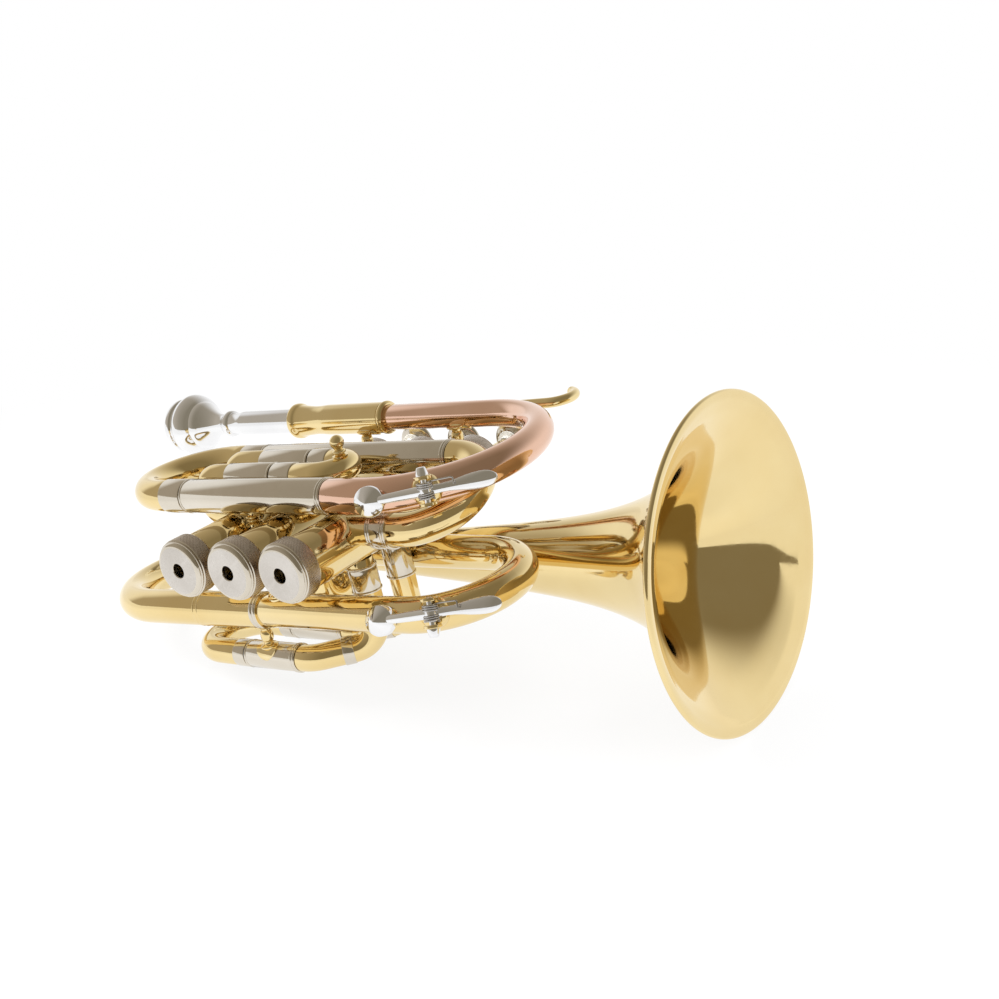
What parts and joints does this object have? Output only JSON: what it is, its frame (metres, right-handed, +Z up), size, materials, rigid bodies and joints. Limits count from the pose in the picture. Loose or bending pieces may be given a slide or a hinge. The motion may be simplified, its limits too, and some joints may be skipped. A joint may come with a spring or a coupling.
{
  "type": "pocket trumpet",
  "caption": "Pocket trumpet in lacquered and rose brass, three piston valves, wound tubing, flared bell and two water keys.",
  "frame": {"origin": "bottom centre of the bounding box, with the instrument lying on its left side, on the bell rim and the third slide", "axes": "+X forward out of the bell along the floor, +Y from the bottom caps toward the finger buttons, +Z up, away from the table"},
  "size_m": [0.2796, 0.1382, 0.1089],
  "materials": {
    "yellow_brass": "polished and lacquered",
    "rose_brass": "polished and lacquered",
    "nickel_silver": "polished nickel silver",
    "silver_plate": "silver plate",
    "spring_steel": "drawn wire",
    "pearl": "polished pearl"
  },
  "bodies": {
    "frame": {"casing_1": "yellow_brass", "bottom_cap_1": "nickel_silver", "top_cap_1": "nickel_silver", "valve_spring_1": "spring_steel", "casing_2": "yellow_brass", "bottom_cap_2": "nickel_silver", "top_cap_2": "nickel_silver", "valve_spring_2": "spring_steel", "casing_3": "yellow_brass", "bottom_cap_3": "nickel_silver", "top_cap_3": "nickel_silver", "valve_spring_3": "spring_steel", "receiver": "yellow_brass", "leadpipe": "rose_brass", "tuning_outer_lower": "nickel_silver", "tuning_outer_upper": "nickel_silver", "front_bow": "yellow_brass", "front_bow_sleeve": "nickel_silver", "first_outer_lower": "nickel_silver", "first_knuckle_lower": "yellow_brass", "first_outer_upper": "nickel_silver", "first_knuckle_upper": "yellow_brass", "second_outer_lower": "nickel_silver", "second_outer_upper": "nickel_silver", "third_elbow_lower": "yellow_brass", "third_outer_lower": "nickel_silver", "third_elbow_upper": "yellow_brass", "third_outer_upper": "nickel_silver", "bell_loop": "yellow_brass", "rear_bow": "yellow_brass", "bell": "yellow_brass", "ball_post": "yellow_brass", "receiver_brace": "yellow_brass", "leadpipe_brace": "yellow_brass", "bell_brace": "yellow_brass", "loop_brace": "yellow_brass", "third_brace": "yellow_brass", "finger_hook": "yellow_brass", "upper_key_saddle": "yellow_brass", "lower_key_saddle": "yellow_brass"},
    "mouthpiece_body": {"mouthpiece": "silver_plate"},
    "valve_1": {"piston_1": "nickel_silver", "stem_1": "yellow_brass", "button_1": "nickel_silver", "pearl_1": "pearl"},
    "valve_2": {"piston_2": "nickel_silver", "stem_2": "yellow_brass", "button_2": "nickel_silver", "pearl_2": "pearl"},
    "valve_3": {"piston_3": "nickel_silver", "stem_3": "yellow_brass", "button_3": "nickel_silver", "pearl_3": "pearl"},
    "main_tuning_slide": {"tuning_slide": "yellow_brass"},
    "first_valve_slide": {"first_slide": "yellow_brass", "first_pull_knob": "yellow_brass"},
    "second_valve_slide": {"second_slide": "yellow_brass"},
    "third_valve_slide": {"third_slide": "yellow_brass"},
    "upper_water_key": {"upper_key_lever": "silver_plate"},
    "lower_water_key": {"lower_key_lever": "silver_plate"}
  },
  "joints": [
    {"name": "mouthpiece_pull", "type": "slide", "parent": "frame", "child": "mouthpiece_body", "axis": [-0.9866, 0, -0.1633], "range_m": [0, 0.02]},
    {"name": "valve_1_travel", "type": "slide", "parent": "frame", "child": "valve_1", "axis": [0, -1, 0], "range_m": [0, 0.016], "stiffness_N_per_m": 150, "springref_m": -0.015, "deforming": ["valve_spring_1"]},
    {"name": "valve_2_travel", "type": "slide", "parent": "frame", "child": "valve_2", "axis": [0, -1, 0], "range_m": [0, 0.016], "stiffness_N_per_m": 150, "springref_m": -0.015, "deforming": ["valve_spring_2"]},
    {"name": "valve_3_travel", "type": "slide", "parent": "frame", "child": "valve_3", "axis": [0, -1, 0], "range_m": [0, 0.016], "stiffness_N_per_m": 150, "springref_m": -0.015, "deforming": ["valve_spring_3"]},
    {"name": "main_tuning_travel", "type": "slide", "parent": "frame", "child": "main_tuning_slide", "axis": [-0.9866, 0, -0.1633], "range_m": [0, 0.022]},
    {"name": "first_slide_travel", "type": "slide", "parent": "frame", "child": "first_valve_slide", "axis": [0.9866, 0, 0.1633], "range_m": [0, 0.012]},
    {"name": "second_slide_travel", "type": "slide", "parent": "frame", "child": "second_valve_slide", "axis": [0.1633, 0, -0.9866], "range_m": [0, 0.003]},
    {"name": "third_slide_travel", "type": "slide", "parent": "frame", "child": "third_valve_slide", "axis": [-0.9866, 0, -0.1633], "range_m": [0, 0.016]},
    {"name": "upper_key_swing", "type": "hinge", "parent": "frame", "child": "upper_water_key", "pos_m": [0.05369, -0.04216, 0.08793], "axis": [-0.2803, 0.1682, 0.9451], "range_deg": [0, 10], "stiffness_Nm_per_rad": 0.05, "springref_deg": -20.05},
    {"name": "lower_key_swing", "type": "hinge", "parent": "frame", "child": "lower_water_key", "pos_m": [0.06209, -0.05595, 0.0543], "axis": [-0.3119, 0.302, 0.9008], "range_deg": [0, 10], "stiffness_Nm_per_rad": 0.05, "springref_deg": -20.05}
  ]
}
